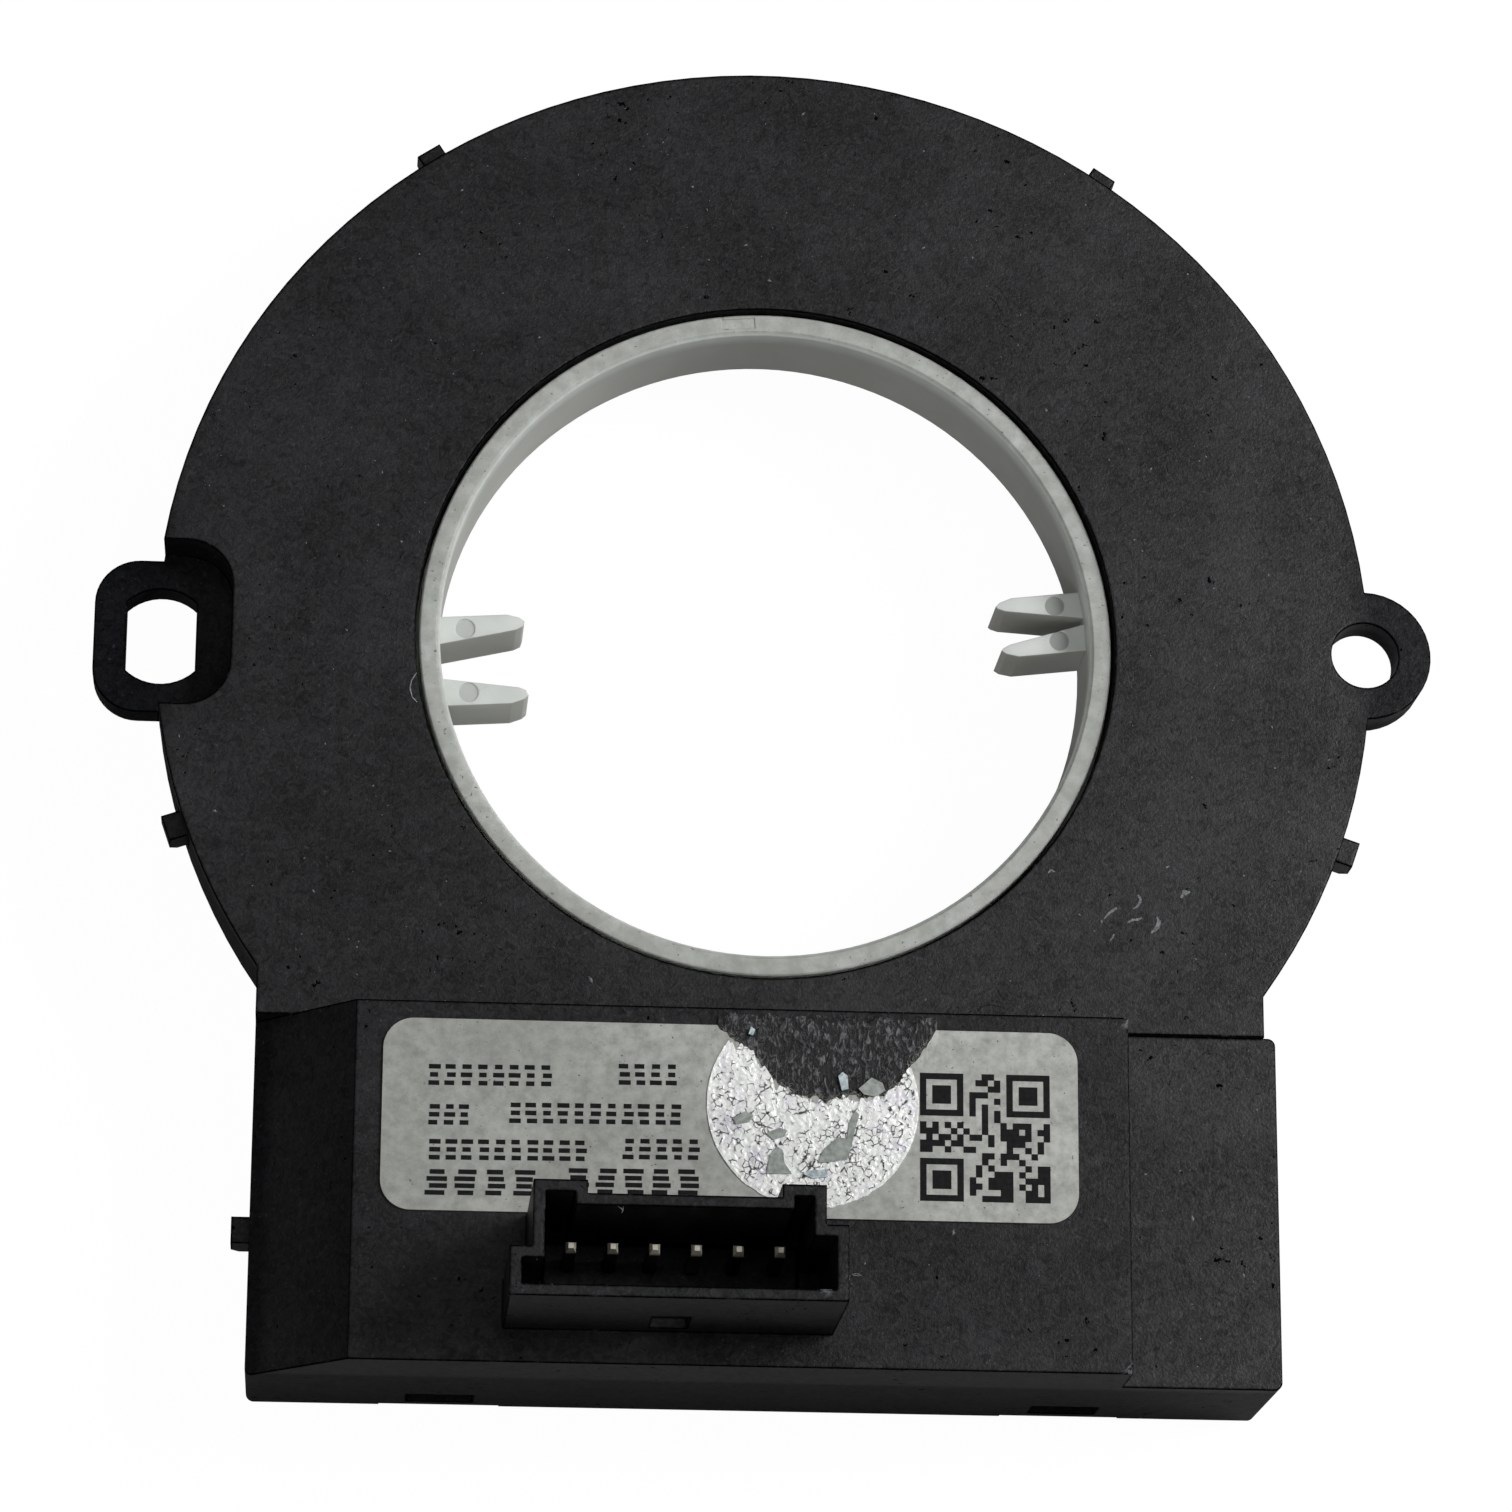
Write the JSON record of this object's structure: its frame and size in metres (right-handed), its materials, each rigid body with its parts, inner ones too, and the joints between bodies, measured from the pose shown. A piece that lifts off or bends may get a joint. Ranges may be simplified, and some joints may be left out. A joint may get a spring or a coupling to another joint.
{
  "type": "steering angle sensor",
  "caption": "Flat ring housing with a freely turning toothed rotor in its bore, two geared magnets inside, and a block with an upright plug socket.",
  "frame": {"origin": "on the rotor axis, at the ring's flat underside", "axes": "+Z along the rotor axis out of the labelled face, +X towards the round-hole ear, +Y away from the connector block"},
  "size_m": [0.0864, 0.0874, 0.0266],
  "materials": {
    "cover_plastic": "fine moulded grain",
    "rotor_plastic": "smooth moulded, slightly waxy",
    "gear_plastic": "smooth moulded",
    "magnet": "nickel-grey sintered",
    "board": "solder mask",
    "chip_package": "moulded epoxy",
    "metal_can": "satin",
    "ferrite": "dull ceramic ferrite",
    "ceramic_chip": "fired ceramic",
    "pin_metal": "tinned, bright",
    "label_film": "printed film, matt",
    "seal_foil": "crinkled foil"
  },
  "bodies": {
    "housing": {"upper_cover": "cover_plastic", "base_cover": "cover_plastic", "circuit_board": "board", "sensor_chip_1": "chip_package", "sensor_chip_2": "chip_package", "microcontroller": "chip_package", "bus_transceiver": "chip_package", "voltage_regulator": "chip_package", "crystal": "metal_can", "bulk_capacitor": "metal_can", "choke_coil": "ferrite", "chip_capacitor_1": "ceramic_chip", "chip_capacitor_2": "ceramic_chip", "chip_capacitor_3": "ceramic_chip", "chip_capacitor_4": "ceramic_chip", "chip_resistor_1": "chip_package", "chip_resistor_2": "chip_package", "chip_resistor_3": "chip_package", "chip_resistor_4": "chip_package", "pin_carrier": "cover_plastic", "terminal_pin_1": "pin_metal", "terminal_pin_2": "pin_metal", "terminal_pin_3": "pin_metal", "terminal_pin_4": "pin_metal", "terminal_pin_5": "pin_metal", "terminal_pin_6": "pin_metal", "label": "label_film", "tamper_seal": "seal_foil"},
    "rotor": {"rotor_ring": "rotor_plastic"},
    "gear_1": {"measuring_gear_1": "gear_plastic", "magnet_1": "magnet"},
    "gear_2": {"measuring_gear_2": "gear_plastic", "magnet_2": "magnet"}
  },
  "joints": [
    {"name": "rotor_turn", "type": "hinge", "parent": "housing", "child": "rotor", "pos_m": [0, 0, 0], "axis": [0, 0, 1], "continuous": true},
    {"name": "gear_1_turn", "type": "hinge", "parent": "housing", "child": "gear_1", "pos_m": [-0.01114, -0.03, 0], "axis": [0, 0, 1], "continuous": true},
    {"name": "gear_2_turn", "type": "hinge", "parent": "housing", "child": "gear_2", "pos_m": [0.01224, -0.03, 0], "axis": [0, 0, 1], "continuous": true}
  ],
  "couplings": [
    {"joint": "gear_1_turn", "follows": "rotor_turn", "ratio": -3.4444},
    {"joint": "gear_2_turn", "follows": "rotor_turn", "ratio": -3.2632}
  ]
}
